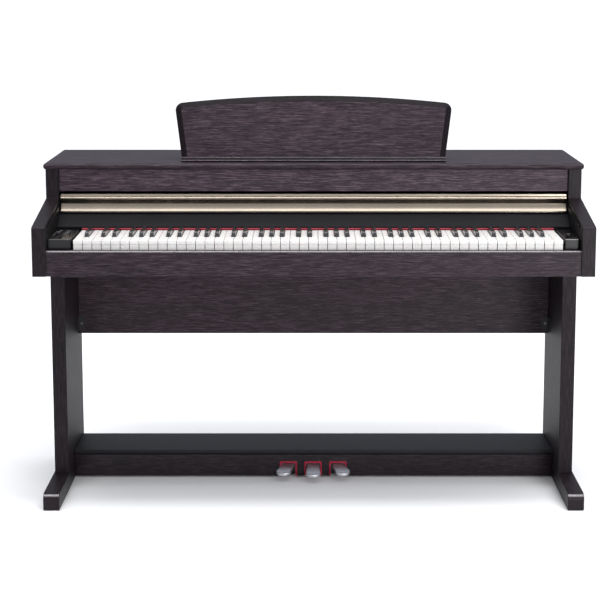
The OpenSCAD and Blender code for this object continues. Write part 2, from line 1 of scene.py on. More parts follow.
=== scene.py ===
import json
from math import atan2, cos, degrees, pi, radians, sin, sqrt, tan

import bmesh
import bpy
from mathutils import Matrix, Vector


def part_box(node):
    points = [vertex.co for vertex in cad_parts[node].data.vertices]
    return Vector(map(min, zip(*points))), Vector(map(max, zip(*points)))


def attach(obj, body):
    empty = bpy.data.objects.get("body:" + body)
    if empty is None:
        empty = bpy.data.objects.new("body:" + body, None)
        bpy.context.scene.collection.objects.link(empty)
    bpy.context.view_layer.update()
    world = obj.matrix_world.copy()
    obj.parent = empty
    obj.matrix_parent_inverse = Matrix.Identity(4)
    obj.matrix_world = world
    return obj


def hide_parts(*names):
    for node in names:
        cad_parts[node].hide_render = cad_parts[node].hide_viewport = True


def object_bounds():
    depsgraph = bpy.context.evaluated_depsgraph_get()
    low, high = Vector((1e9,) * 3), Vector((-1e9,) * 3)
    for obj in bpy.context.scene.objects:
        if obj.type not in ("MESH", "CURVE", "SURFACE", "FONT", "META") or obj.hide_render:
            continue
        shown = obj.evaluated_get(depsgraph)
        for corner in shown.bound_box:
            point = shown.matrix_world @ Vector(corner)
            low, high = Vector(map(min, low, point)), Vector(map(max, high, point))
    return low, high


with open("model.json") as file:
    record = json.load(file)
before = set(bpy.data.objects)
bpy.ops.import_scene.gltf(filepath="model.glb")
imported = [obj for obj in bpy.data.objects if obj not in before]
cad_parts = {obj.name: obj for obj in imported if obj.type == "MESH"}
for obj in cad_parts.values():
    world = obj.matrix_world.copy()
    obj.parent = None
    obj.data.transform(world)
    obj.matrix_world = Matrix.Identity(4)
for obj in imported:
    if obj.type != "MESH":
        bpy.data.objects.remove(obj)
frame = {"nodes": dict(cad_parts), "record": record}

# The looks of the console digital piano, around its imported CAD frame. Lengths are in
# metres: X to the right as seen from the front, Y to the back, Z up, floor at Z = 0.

MM = 0.001
SHARP_ANGLE = radians(35)
# The colour sockets of a Mix node, whose names repeat.
MIX_A, MIX_B, MIX_RESULT = 6, 7, 2
NODES = frame["nodes"]
cad_low, cad_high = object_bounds()


# ---- frame helpers ----

def at_depth(depth):
    """Y of a depth measured back from the front of the arms."""
    return cad_low.y + depth


def body_of(node):
    """Name of the body that a CAD node rides on."""
    bodies = frame["record"]["behaviour"]["bodies"]
    return next(body for body, names in bodies.items() if node in names)


def middle_of(node):
    """X and Y of the middle of a CAD node's box."""
    low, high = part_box(node)
    return (low.x + high.x) / 2, (low.y + high.y) / 2


def add_object(name, data):
    obj = bpy.data.objects.new(name, data)
    bpy.context.scene.collection.objects.link(obj)
    return obj


# ---- camera ----

def make_camera():
    """A long lens in front of the piano and a little above it, which looks slightly down."""
    pitch_down = 8.42
    data = bpy.data.cameras.new("camera")
    data.lens = 94.8
    data.shift_x = -0.0173
    data.shift_y = -0.15
    data.clip_end = 400
    camera = add_object("camera", data)
    camera.location = (-0.007, -4.129, 1.364)
    camera.rotation_euler = (radians(90 - pitch_down), 0, 0)
    bpy.context.scene.camera = camera


make_camera()


# ---- material kit ----

class Finish:
    """A node material in the making, with its patterns in object coordinates, in metres."""

    def __init__(self, name, **plain):
        self.material = bpy.data.materials.new(name)
        self.material.use_nodes = True
        self.tree = self.material.node_tree
        self.shader = self.tree.nodes["Principled BSDF"]
        self.place = self.tree.nodes.new("ShaderNodeTexCoord").outputs["Object"]
        for key, value in plain.items():
            socket = key.replace("_", " ").title().replace("Ior", "IOR")
            self.shader.inputs[socket].default_value = value

    def node(self, kind, inputs=(), **settings):
        """Adds a node, sets its attributes, and fills its inputs with sockets or plain values."""
        made = self.tree.nodes.new(kind)
        for key, value in settings.items():
            setattr(made, key, value)
        for key, value in dict(inputs).items():
            if isinstance(value, bpy.types.NodeSocket):
                self.tree.links.new(value, made.inputs[key])
            else:
                made.inputs[key].default_value = value
        return made

    def noise(self, scale, detail=3.0, rough=0.5, distortion=0.0, shift=0.0):
        """Noise with its own repeats per metre along X, Y and Z."""
        spread = self.node("ShaderNodeMapping", {
            "Vector": self.place, "Location": (shift, shift, shift), "Scale": scale})
        made = self.node("ShaderNodeTexNoise", {
            "Vector": spread.outputs[0], "Scale": 1.0, "Detail": detail,
            "Roughness": rough, "Distortion": distortion})
        return made.outputs["Fac"]

    def cells(self, scale):
        """Distance to the nearest border in a pattern of cells."""
        spread = self.node("ShaderNodeMapping", {"Vector": self.place, "Scale": scale})
        made = self.node("ShaderNodeTexVoronoi", {"Vector": spread.outputs[0], "Scale": 1.0},
                         feature="DISTANCE_TO_EDGE")
        return made.outputs["Distance"]

    def remap(self, value, to_low, to_high, from_low=0.3, from_high=0.7):
        """Maps one range of a value, by default the one that most noise lies in, to another."""
        made = self.node("ShaderNodeMapRange", {
            "Value": value, "From Min": from_low, "From Max": from_high,
            "To Min": to_low, "To Max": to_high})
        return made.outputs["Result"]

    def sum(self, *weighted):
        """Sum of (socket, weight) pairs."""
        total = 0.0
        for socket, weight in weighted:
            terms = {0: socket, 1: weight, 2: total}
            total = self.node("ShaderNodeMath", terms, operation="MULTIPLY_ADD").outputs[0]
        return total

    def ramp(self, value, stops):
        """Colours along a value: a list of (position, colour)."""
        made = self.node("ShaderNodeValToRGB", {0: value})
        points = made.color_ramp.elements
        while len(points) < len(stops):
            points.new(1.0)
        for point, (position, colour) in zip(points, stops):
            point.position = position
            point.color = (*colour, 1.0)
        return made.outputs[0]

    def shades(self, value, colour, dark, light):
        """A colour that goes from its dark to its light multiple along a value."""
        low, high = (tuple(k * c for c in colour) for k in (dark, light))
        return self.ramp(value, [(0.35, low), (0.65, high)])

    def blend(self, factor, base, colour, mode="MIX"):
        """Puts a plain colour over a base socket."""
        inputs = {0: factor, MIX_A: base, MIX_B: (*colour, 1.0)}
        made = self.node("ShaderNodeMix", inputs, data_type="RGBA", blend_type=mode)
        return made.outputs[MIX_RESULT]

    def bump(self, height, strength, depth):
        """Fine relief, as deep as depth, in metres."""
        made = self.node("ShaderNodeBump", {"Height": height, "Strength": strength, "Distance": depth})
        self.wire("Normal", made.outputs[0])

    def wire(self, socket, value):
        """Feeds a value into one of the shader's inputs."""
        self.tree.links.new(value, self.shader.inputs[socket])


def grain_scale(along, lengthwise, crosswise):
    """Noise scale of a grain that runs along one axis."""
    return tuple(lengthwise if axis == along else crosswise for axis in "xyz")


# ---- wood ----

def wood(name, along, tone=1.0, gloss=0.42, specular=0.14, black_inside=None):
    """Dark rosewood foil with fine streaks and open pores, black inside an X if one is given."""
    f = Finish(name, specular_ior_level=specular)
    fibre = f.noise(grain_scale(along, 20, 430), detail=5, rough=0.7, distortion=0.04)
    ripple = f.noise(grain_scale(along, 60, 800), detail=3, rough=0.6, distortion=0.04, shift=3.1)
    figure = f.noise(grain_scale(along, 2.2, 13), detail=4, distortion=0.8, shift=7.7)
    pores = f.noise(grain_scale(along, 90, 1700), detail=1, shift=1.9)
    shade = f.sum((fibre, 0.62), (ripple, 0.30), (figure, 0.08))
    dark, mid, light = (0.008, 0.0050, 0.0075), (0.030, 0.0208, 0.0275), (0.112, 0.088, 0.104)
    red_tint, pore, inner_black = (0.92, 0.70, 0.80), (0.006, 0.004, 0.005), (0.006, 0.006, 0.007)
    stops = ((0.36, dark), (0.50, mid), (0.66, light))
    colour = f.ramp(shade, [(place, tuple(tone * c for c in rgb)) for place, rgb in stops])
    colour = f.blend(f.remap(figure, 0.0, 0.55), colour, red_tint, "MULTIPLY")
    colour = f.blend(f.remap(pores, 0.0, 0.5, 0.58, 0.7), colour, pore)
    # Black at every X nearer the middle than the given limit.
    if black_inside:
        across = f.node("ShaderNodeSeparateXYZ", {0: f.place}).outputs["X"]
        reach = f.node("ShaderNodeMath", {0: across}, operation="ABSOLUTE").outputs[0]
        limit = {0: reach, 1: black_inside}
        inside = f.node("ShaderNodeMath", limit, operation="LESS_THAN").outputs[0]
        colour = f.blend(inside, colour, inner_black)
    f.wire("Base Color", colour)
    f.wire("Roughness", f.remap(ripple, gloss - 0.05, gloss + 0.08))
    f.bump(f.sum((fibre, 0.5), (ripple, 0.6), (pores, -0.5)), 0.35, 0.35 * MM)
    return f.material


def dark_board(name, colour, gloss, specular):
    """Plain dark satin foil, almost without grain, which runs along X."""
    f = Finish(name, specular_ior_level=specular)
    fine = f.noise(grain_scale("x", 40, 500), detail=3, rough=0.6)
    cloud = f.noise((4, 4, 4), detail=2, shift=2.3)
    f.wire("Base Color", f.shades(f.sum((fine, 0.6), (cloud, 0.4)), colour, 0.8, 1.25))
    f.wire("Roughness", f.remap(fine, gloss - 0.04, gloss + 0.06))
    f.bump(fine, 0.12, 0.15 * MM)
    return f.material


# ---- plastics ----

def moulded(name, colour, rough, leather=900.0, relief=0.12, specular=0.4):
    """Moulded plastic with a fine spark-eroded texture."""
    f = Finish(name, specular_ior_level=specular)
    fine = f.noise((leather,) * 3, detail=2)
    cloud = f.noise((9, 9, 9), detail=3, shift=5.0)
    f.wire("Base Color", f.shades(f.sum((fine, 0.4), (cloud, 0.6)), colour, 0.88, 1.12))
    f.wire("Roughness", f.remap(cloud, rough - 0.04, rough + 0.05))
    f.bump(fine, relief, 0.1 * MM)
    return f.material


def key_white():
    """Warm white acrylic with faint wear along the keys."""
    f = Finish("key_white_acrylic", specular_ior_level=0.5,
               subsurface_weight=0.06, subsurface_scale=2 * MM)
    cloud = f.noise((25, 6, 25), detail=3)
    wear = f.noise((300, 60, 300), detail=4, shift=2.0)
    dull, clean = (0.645, 0.628, 0.613), (0.695, 0.678, 0.663)
    f.wire("Base Color", f.ramp(cloud, [(0.3, dull), (0.7, clean)]))
    f.wire("Roughness", f.remap(wear, 0.24, 0.36))
    f.bump(wear, 0.03, 0.05 * MM)
    return f.material


def key_black():
    """Glossy black with a fine grain along the keys."""
    f = Finish("key_black_gloss", specular_ior_level=0.8)
    grain = f.noise((900, 40, 900), detail=3, rough=0.6)
    cloud = f.noise((30, 30, 30), shift=4.0)
    dark, light = (0.010, 0.010, 0.011), (0.022, 0.022, 0.024)
    f.wire("Base Color", f.ramp(grain, [(0.35, dark), (0.65, light)]))
    f.wire("Roughness", f.remap(cloud, 0.12, 0.19))
    f.bump(grain, 0.04, 0.06 * MM)
    return f.material


# ---- metals ----

def metal(name, colour, rough, along="x", brushed=0.15, lines_per_metre=2600, uneven=0.05):
    """Metal with fine lines along one axis, and a cloud of slightly duller patches."""
    f = Finish(name, metallic=1.0)
    lines = f.noise(grain_scale(along, 4, lines_per_metre), detail=3, rough=0.7)
    cloud = f.noise((14, 14, 14), detail=3, shift=6.0)
    f.wire("Base Color", f.shades(f.sum((lines, 0.6), (cloud, 0.4)), colour, 0.9, 1.05))
    f.wire("Roughness", f.remap(f.sum((lines, 0.5), (cloud, 0.5)), rough - uneven, rough + uneven))
    f.bump(lines, brushed, 0.05 * MM)
    return f.material


def felt(name, colour):
    """Matt fuzzy felt with a soft sheen."""
    f = Finish(name, specular_ior_level=0.1, sheen_weight=0.6, sheen_roughness=0.5,
               sheen_tint=(1.0, 0.75, 0.75, 1.0), roughness=0.95)
    fuzz = f.noise((1500,) * 3, detail=3, rough=0.7)
    cloud = f.noise((160,) * 3, detail=3, shift=3.0)
    f.wire("Base Color", f.shades(f.sum((fuzz, 0.6), (cloud, 0.4)), colour, 0.65, 1.3))
    f.bump(f.sum((fuzz, 0.7), (cloud, 0.5)), 0.7, 0.5 * MM)
    return f.material


def circuit_board():
    """Green lacquered board with paler copper tracks."""
    f = Finish("circuit_board_lacquer", specular_ior_level=0.5, roughness=0.35)
    tracks = f.cells((140, 60, 140))
    cloud = f.noise((60,) * 3)
    dark, light, track = (0.010, 0.075, 0.035), (0.016, 0.11, 0.05), (0.06, 0.24, 0.10)
    green = f.ramp(cloud, [(0.3, dark), (0.7, light)])
    f.wire("Base Color", f.blend(f.remap(tracks, 1.0, 0.0, 0.02, 0.06), green, track))
    f.bump(tracks, 0.2, 0.1 * MM)
    return f.material


# The side panels are black up to just past their inner face.
PANEL_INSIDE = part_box("right_side_panel")[0].x
WOOD_X = wood("rosewood_along_x", "x", tone=0.70)
WOOD_PANEL = wood("rosewood_front_panel", "x", tone=1.7)
WOOD_REST = wood("rosewood_music_rest", "x", tone=0.82)
# A much darker wood for the rest board's chamfers and edges: painted shade.
WOOD_REST_SHADED_EDGE = wood("rosewood_rest_edge_painted_shade", "x", tone=0.2, gloss=0.5, specular=0.08)
WOOD_LOW = wood("rosewood_modesty_panel", "x", tone=0.8)
WOOD_Y = wood("rosewood_along_y", "y", tone=0.36)
WOOD_Z = wood("rosewood_along_z", "z", tone=0.34, gloss=0.51)
WOOD_SIDE = wood("rosewood_side_panel", "z", tone=0.29, black_inside=PANEL_INSIDE + 0.6 * MM)
WOOD_EDGE = wood("rosewood_ledge", "x", tone=0.5, gloss=0.3, specular=0.25)
# Glossier and lighter woods for top front edges and noses: the gloss is real polish, the lighter colour
# a painted highlight line.
POLISHED_HIGHLIGHT_X = wood("rosewood_polished_edge_painted_highlight", "x", tone=0.9, gloss=0.22, specular=0.5)
POLISHED_HIGHLIGHT_Y = wood("rosewood_polished_nose_painted_highlight", "y", tone=0.9, gloss=0.22, specular=0.9)
BEAM_FRONT = wood("rosewood_beam_gloss", "x", tone=0.40, gloss=0.14, specular=0.22)
SATIN_BOARD = dark_board("dark_satin_board", (0.016, 0.0155, 0.019), 0.5, 0.2)
FALL_BLACK = dark_board("fallboard_satin_black", (0.0075, 0.0075, 0.0095), 0.45, 0.12)
BACK_BOARD = dark_board("back_board_hardboard", (0.016, 0.012, 0.013), 0.6, 0.25)
BLACK_PLASTIC = moulded("black_moulded_plastic", (0.010, 0.010, 0.012), 0.38)
CHEEK_BLACK = moulded("cheek_block_black", (0.005, 0.005, 0.006), 0.2, relief=0.03, specular=0.38)
BLACK_METAL = moulded("black_powder_coat", (0.008, 0.008, 0.009), 0.5, 700.0, 0.25)
GREY_CONTROL = moulded("control_grey_plastic", (0.055, 0.055, 0.06), 0.4)
PALE_MARK = moulded("printed_mark_grey", (0.42, 0.42, 0.43), 0.6, 1200.0, 0.05)
WHITE_KEYS = key_white()
BLACK_KEYS = key_black()
GOLD = metal("champagne_gold_anodised", (0.34, 0.292, 0.237), 0.24, brushed=0.008,
             lines_per_metre=700, uneven=0.012)
CHROME = metal("satin_chrome", (0.60, 0.60, 0.64), 0.48, "y", 0.05)
STEEL = metal("zinc_plated_steel", (0.55, 0.56, 0.58), 0.35)
DARK_STEEL = metal("blackened_steel", (0.13, 0.13, 0.14), 0.4)
RED_FELT = felt("red_felt", (0.28, 0.010, 0.030))
CIRCUIT = circuit_board()


# ---- mesh kit ----

def smooth_by_angle():
    """Geometry nodes that shade smooth, except across sharp edges."""
    tree = bpy.data.node_groups.new("smooth_by_angle", "GeometryNodeTree")
    tree.interface.new_socket("Geometry", in_out="INPUT", socket_type="NodeSocketGeometry")
    tree.interface.new_socket("Geometry", in_out="OUTPUT", socket_type="NodeSocketGeometry")
    start, end = tree.nodes.new("NodeGroupInput"), tree.nodes.new("NodeGroupOutput")
    faces, edges = (tree.nodes.new("GeometryNodeSetShadeSmooth") for _ in range(2))
    edges.domain = "EDGE"
    angle = tree.nodes.new("GeometryNodeInputMeshEdgeAngle")
    flat = tree.nodes.new("FunctionNodeCompare")
    flat.data_type = "FLOAT"
    flat.operation = "LESS_THAN"
    flat.inputs[1].default_value = SHARP_ANGLE
    tree.links.new(start.outputs[0], faces.inputs["Geometry"])
    tree.links.new(faces.outputs[0], edges.inputs["Geometry"])
    tree.links.new(angle.outputs[0], flat.inputs[0])
    tree.links.new(flat.outputs[0], edges.inputs["Shade Smooth"])
    tree.links.new(edges.outputs[0], end.inputs[0])
    return tree


SMOOTH = smooth_by_angle()


def round_edges(obj, width, segments=3, merge=True, clamp=True):
    """Rounds an object's sharp edges with modifiers; merge joins the CAD model's triangles first."""
    if merge:
        weld = obj.modifiers.new("weld", "WELD")
        weld.merge_threshold = 0.01 * MM
        flat = obj.modifiers.new("flat_faces", "DECIMATE")
        flat.decimate_type = "DISSOLVE"
        flat.angle_limit = radians(0.5)
    if width:
        bevel = obj.modifiers.new("round_edges", "BEVEL")
        bevel.width = width
        bevel.segments = segments
        bevel.limit_method = "ANGLE"
        bevel.angle_limit = SHARP_ANGLE
        bevel.miter_outer = "MITER_ARC"
        bevel.use_clamp_overlap = clamp
    shade = obj.modifiers.new("smooth", "NODES")
    shade.node_group = SMOOTH
    weighted = obj.modifiers.new("even_normals", "WEIGHTED_NORMAL")
    weighted.keep_sharp = True


def dress(node, material, width=0.0, segments=3, clamp=True):
    """Gives a carried-over CAD node its material and rounds its edges."""
    obj = NODES[node]
    for slot in obj.material_slots:
        slot.link = "OBJECT"
        slot.material = material
    round_edges(obj, width, segments, clamp=clamp)


def make_mesh(name, mesh_maker):
    """A mesh from a bmesh function, with its faces turned outward."""
    made = bmesh.new()
    mesh_maker(made)
    bmesh.ops.recalc_face_normals(made, faces=made.faces)
    mesh = bpy.data.meshes.new(name)
    made.to_mesh(mesh)
    made.free()
    return mesh


def piece(name, mesh_maker, material, body, replaces=(), edge=0.0, segments=3):
    """Makes a piece from a bmesh function, which rides on a body."""
    mesh = make_mesh(name, mesh_maker)
    mesh.materials.append(material)
    obj = add_object(name, mesh)
    round_edges(obj, edge, segments, merge=False)
    if replaces:
        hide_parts(*replaces)
    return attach(obj, body)


def loft(bm, rings):
    """Joins closed rings of points, each the same length, into a skin with closed ends."""
    rows = [[bm.verts.new(p) for p in ring] for ring in rings]
    for low, high in zip(rows, rows[1:]):
        for i in range(len(low)):
            j = (i + 1) % len(low)
            bm.faces.new((low[i], low[j], high[j], high[i]))
    bm.faces.new(rows[0][::-1])
    bm.faces.new(rows[-1])


def box(bm, low, high):
    """A closed block between two corners."""
    ring = [(low[0], low[1]), (high[0], low[1]), (high[0], high[1]), (low[0], high[1])]
    loft(bm, [[(x, y, z) for x, y in ring] for z in (low[2], high[2])])


def arc(centre, radius, start, end, steps):
    """Points on an arc, from one angle to another in degrees."""
    angles = [radians(start + (end - start) * i / steps) for i in range(steps + 1)]
    return [(centre[0] + radius * cos(a), centre[1] + radius * sin(a)) for a in angles]


def along_x(bm, profile, x0, x1):
    """Runs a (y, z) profile from x0 to x1."""
    loft(bm, [[(x, y, z) for y, z in profile] for x in (x0, x1)])


def carve(obj, cutter_maker):
    """Cuts a shape out of a piece, ahead of its edge rounding."""
    cutter = add_object("cutter", make_mesh("cutter", cutter_maker))
    later = list(obj.modifiers)
    for modifier in later:
        modifier.show_viewport = False
    cut = obj.modifiers.new("cut", "BOOLEAN")
    cut.object = cutter
    cut.solver = "EXACT"
    view = bpy.context.evaluated_depsgraph_get()
    view.update()
    obj.data = bpy.data.meshes.new_from_object(obj.evaluated_get(view))
    obj.modifiers.remove(cut)
    for modifier in later:
        modifier.show_viewport = True
    bpy.data.objects.remove(cutter)


def paint_faces(obj, material, picks):
    """Gives a second material to the faces whose outward direction is picked."""
    obj.data.materials.append(material)
    second = len(obj.data.materials) - 1
    for face in obj.data.polygons:
        if picks(face.normal):
            face.material_index = second


def faces_up_and_forward(normal):
    """Whether a face is a chamfer or a nose along a top front edge, where a highlight is painted."""
    return normal.y < -0.3 and normal.z > 0.3


# ---- case ----

def make_lid():
    """The lid, with its front and side edges rounded through its whole thickness."""
    low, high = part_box("top_lid")
    radius = (high.z - low.z) / 2
    mid = (low.z + high.z) / 2
    x, front = high.x - radius, low.y + radius
    least_reach = 0.02 * MM
    steps = 16

    def ring(angle):
        reach = max(radius * cos(angle), least_reach)
        z = mid + radius * sin(angle)
        left = arc((-x, front), reach, 180, 270, steps // 2)
        right = arc((x, front), reach, 270, 360, steps // 2)
        outline = [(-x - reach, high.y), *left, *right, (x + reach, high.y)]
        return [(px, py, z) for px, py in outline]

    def skin(bm):
        loft(bm, [ring(-pi / 2 + pi * i / steps) for i in range(steps + 1)])

    piece("lid_board", skin, WOOD_X, "cabinet", ["top_lid"], edge=0.6 * MM, segments=2)


make_lid()
for node in ("left_side_panel", "right_side_panel"):
    dress(node, WOOD_SIDE, 1.2 * MM)
dress("front_panel", WOOD_PANEL, 1.0 * MM)
dress("keybed", WOOD_X, 0.8 * MM)
dress("fallboard", FALL_BLACK, 0.8 * MM)
dress("back_panel", BACK_BOARD, 0.5 * MM)
for node in ("left_cheek_block", "right_cheek_block"):
    # Clamped, the bevel would shrink to nothing at the small holes for the controls.
    dress(node, CHEEK_BLACK, 1.6 * MM, 1, clamp=False)
dress("key_cover", SATIN_BOARD, 0.5 * MM)


def make_front_rail():
    """The front rail, with a polished chamfer along its top front edge, in a lighter wood that paints a
    highlight line there.
    """
    low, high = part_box("front_rail")
    chamfer = 2.5 * MM
    profile = [(low.y, low.z), (low.y, high.z - chamfer), (low.y + chamfer, high.z),
               (high.y, high.z), (high.y, low.z)]
    rail = piece("keyslip_board", lambda bm: along_x(bm, profile, low.x, high.x), WOOD_X,
                 "cabinet", ["front_rail"])
    # The chamfer takes the polished wood: real gloss, and a lighter colour that is a painted highlight.
    paint_faces(rail, POLISHED_HIGHLIGHT_X, faces_up_and_forward)


make_front_rail()


def make_felt_strip():
    """The thin felt that shows behind the white keys, low enough to leave a dark line above it."""
    low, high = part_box("felt_strip")
    top = low.z + 4 * MM
    piece("key_felt", lambda bm: box(bm, low, (high.x, high.y, top)), RED_FELT,
          "cabinet", ["felt_strip"], edge=1.2 * MM)


make_felt_strip()


# ---- stand ----

for node in ("left_leg", "right_leg"):
    dress(node, WOOD_Z, 1.2 * MM)


def make_foot(node):
    """A foot bar with a round nose, polished where the front turns into the top, and lighter in colour
    there as a painted highlight.
    """
    low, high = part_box(node)
    nose, edge = 17 * MM, 1.5 * MM
    curve = [*arc((low.y + edge, low.z + edge), edge, 270, 180, 3),
             *arc((low.y + nose, high.z - nose), nose, 180, 90, 16)]
    profile = [Vector(p) for p in (*curve, (high.y - edge, high.z), (high.y, high.z - edge),
                                   (high.y, low.z))]
    centre = sum(profile, Vector((0, 0))) / len(profile)
    shoulder = 0.4 * edge

    def ring(x, inset):
        return [(x, *(p + inset * (centre - p).normalized())) for p in profile]

    rings = [ring(low.x, edge), ring(low.x + shoulder, shoulder), ring(low.x + edge, 0),
             ring(high.x - edge, 0), ring(high.x - shoulder, shoulder), ring(high.x, edge)]
    foot = piece(f"{node}_bar", lambda bm: loft(bm, rings), WOOD_Y, body_of(node), [node])
    # Where the nose turns into the top, the polished wood paints a highlight line.
    paint_faces(foot, POLISHED_HIGHLIGHT_Y, lambda normal: normal.y < -0.45 and normal.z > 0.55)


for node in ("left_foot", "right_foot"):
    make_foot(node)
dress("modesty_panel", WOOD_LOW, 1.0 * MM)
dress("pedal_front_board", BEAM_FRONT, 1.0 * MM)
dress("pedal_top_board", SATIN_BOARD, 1.2 * MM)
dress("corner_brackets", BLACK_METAL, 0.5 * MM)
dress("foot_glides", BLACK_PLASTIC, 0.4 * MM)
dress("pedal_frame", BLACK_METAL, 0.4 * MM)
dress("screws", DARK_STEEL, 0.2 * MM, 2)


# ---- controls and inside ----

for node in ("voice_button", "tempo_button", "record_button", "power_button", "volume_slider"):
    dress(node, GREY_CONTROL, 0.7 * MM)
dress("key_frame", STEEL, 0.4 * MM)
dress("main_board", CIRCUIT, 0.2 * MM, 2)
dress("power_supply", STEEL, 0.5 * MM)
dress("speakers", BLACK_PLASTIC, 0.8 * MM)
dress("speaker_grilles", BLACK_METAL, 0.5 * MM)
dress("jack_blocks", BLACK_PLASTIC, 0.8 * MM)


def make_marks():
    """Plain printed ticks beside the controls on the two cheek blocks."""
    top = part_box("left_cheek_block")[1].z
    bottom_z, top_z = top - 0.1 * MM, top + 0.12 * MM
    line, tick_line, tick_space = 1.0 * MM, 0.8 * MM, 8 * MM
    long_tick, short_tick = 4 * MM, 2.4 * MM
    button_dot, power_dot = 1.6 * MM, 1.8 * MM

    def bar(bm, x, y, wide, deep):
        box(bm, (x - wide / 2, y - deep / 2, bottom_z), (x + wide / 2, y + deep / 2, top_z))

    def left(bm):
        x, y = middle_of("volume_slider")
        for step in range(-3, 4):
            wide = long_tick if step % 3 == 0 else short_tick
            bar(bm, x - 7.5 * MM, y + step * tick_space, wide, tick_line)
        bar(bm, x, y + 5 * tick_space, 7 * MM, line)
        bar(bm, x, y + 6 * tick_space, 5 * MM, line)
        for name in ("voice_button", "tempo_button", "record_button"):
            x, y = middle_of(name)
            bar(bm, x, y + 8 * MM, 8 * MM, line)
            bar(bm, x + 11 * MM, y, button_dot, button_dot)

    def right(bm):
        x, y = middle_of("power_button")
        bar(bm, x, y + 11 * MM, 5 * MM, line)
        bar(bm, x, y - 11 * MM, power_dot, power_dot)

    piece("left_panel_marks", left, PALE_MARK, "cabinet")
    piece("right_panel_marks", right, PALE_MARK, "cabinet")


make_marks()


# ---- music rest ----

# On the rest, u runs up the leaning board from its pivot, and v out of its front face.
REST_LEAN = radians(14)
REST_FOOT_W, REST_TOP_W, REST_H = 690 * MM, 727 * MM, 166 * MM
REST_ARC_R, REST_CORNER_R = 3200 * MM, 20 * MM
REST_FOOT_U, REST_BACK_V, REST_T = -4.3 * MM, 0.5 * MM, 16 * MM
rest_pivot = Vector((0, at_depth(273.5 * MM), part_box("top_lid")[1].z + 6 * MM))


def on_rest(x, u, v):
    """A point u up the leaning board and v out of its face, from the rest's pivot."""
    return (x, rest_pivot.y + u * sin(REST_LEAN) - v * cos(REST_LEAN),
            rest_pivot.z + u * cos(REST_LEAN) + v * sin(REST_LEAN))


def rest_outline(inset):
    """Outline of the rest board, moved in from its sides and its arched top."""
    foot = Vector((REST_FOOT_W / 2, 0))
    up = Vector(((REST_TOP_W - REST_FOOT_W) / 2, 0.8 * REST_H)).normalized()
    inward = Vector((-up.y, up.x))
    middle = Vector((0, REST_H - REST_ARC_R))
    start = foot + REST_CORNER_R * inward - middle
    reach = REST_ARC_R - REST_CORNER_R
    along = sqrt(start.dot(up) ** 2 - start.dot(start) + reach ** 2) - start.dot(up)
    corner = middle + start + along * up
    turn = degrees(atan2(corner.y - middle.y, corner.x))
    side = degrees(atan2(-inward.y, -inward.x))
    low_x = foot.x + REST_FOOT_U * up.x / up.y - inset
    half = [(low_x, REST_FOOT_U), *arc(corner, REST_CORNER_R - inset, side, turn, 10),
            *arc(middle, REST_ARC_R - inset, turn, 90, 14)[1:]]
    return half + [(-x, u) for x, u in reversed(half[:-1])]


def make_rest():
    """The board, with a wide chamfer along its sides and arched top, and slots for the hinges; its
    chamfers and edges are darkened as painted shade.
    """
    face = REST_BACK_V + REST_T
    chamfer_w, chamfer_drop = 15 * MM, 7 * MM
    edge = face - chamfer_drop
    back_edge = [(1.2 * MM, REST_BACK_V), (0.3 * MM, REST_BACK_V + 0.4 * MM),
                 (0, REST_BACK_V + 1.4 * MM)]
    front_edge = [(0, edge - 1.5 * MM), (0.4 * MM, edge - 0.4 * MM), (1.5 * MM, edge + 0.5 * MM)]
    chamfer_end = [(chamfer_w - 0.8 * MM, face - 0.4 * MM), (chamfer_w + 0.4 * MM, face)]
    rings = [[on_rest(x, u, v) for x, u in rest_outline(inset)]
             for inset, v in back_edge + front_edge + chamfer_end]
    board = piece("rest_board", lambda bm: loft(bm, rings), WOOD_REST, "rest",
                  ["music_rest"])
    hinge_x = 250 * MM

    def slots(bm):
        for x in (-hinge_x, hinge_x):
            box(bm, (x - 10 * MM, rest_pivot.y - 4 * MM, rest_pivot.z - 8 * MM),
                (x + 18 * MM, rest_pivot.y + 8 * MM, rest_pivot.z + 4 * MM))

    carve(board, slots)
    outward = Vector((0, -cos(REST_LEAN), sin(REST_LEAN)))
    nearly_flat = 0.97
    # Every face that doesn't face straight out or back, chamfers and edges alike, takes the much darker
    # wood: painted shade.
    paint_faces(board, WOOD_REST_SHADED_EDGE, lambda normal: abs(normal.dot(outward)) < nearly_flat)


def make_ledge():
    """The ledge along the foot of the rest: a thin nosed plate with a stepped block on it."""
    low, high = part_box("rest_ledge")
    plate, step, top_r = 4.5 * MM, 3.5 * MM, 2 * MM
    nose_r = plate / 2

    def face_y(z):
        lean = (z - rest_pivot.z) * tan(REST_LEAN)
        return rest_pivot.y + lean - (REST_BACK_V + REST_T) / cos(REST_LEAN)

    nose = arc((low.y + nose_r, low.z + nose_r), nose_r, 270, 90, 8)
    top = arc((low.y + step + top_r, high.z - top_r), top_r, 180, 90, 5)
    profile = [*nose, (low.y + step, low.z + plate), *top, (face_y(high.z), high.z),
               (face_y(low.z), low.z)]
    shelf = piece("rest_shelf", lambda bm: along_x(bm, profile, low.x, high.x), WOOD_EDGE,
                  "rest", ["rest_ledge"], edge=0.3 * MM, segments=2)
    # The ledge's nose takes the polished wood, whose lighter colour paints a highlight line.
    paint_faces(shelf, POLISHED_HIGHLIGHT_X, faces_up_and_forward)


dress("rest_hinges", STEEL, 0.25 * MM, 2)
dress("rest_leaves", STEEL)
dress("rest_stays", STEEL, 0.4 * MM, 2)
make_rest()
make_ledge()


# ---- key cover's handle ----

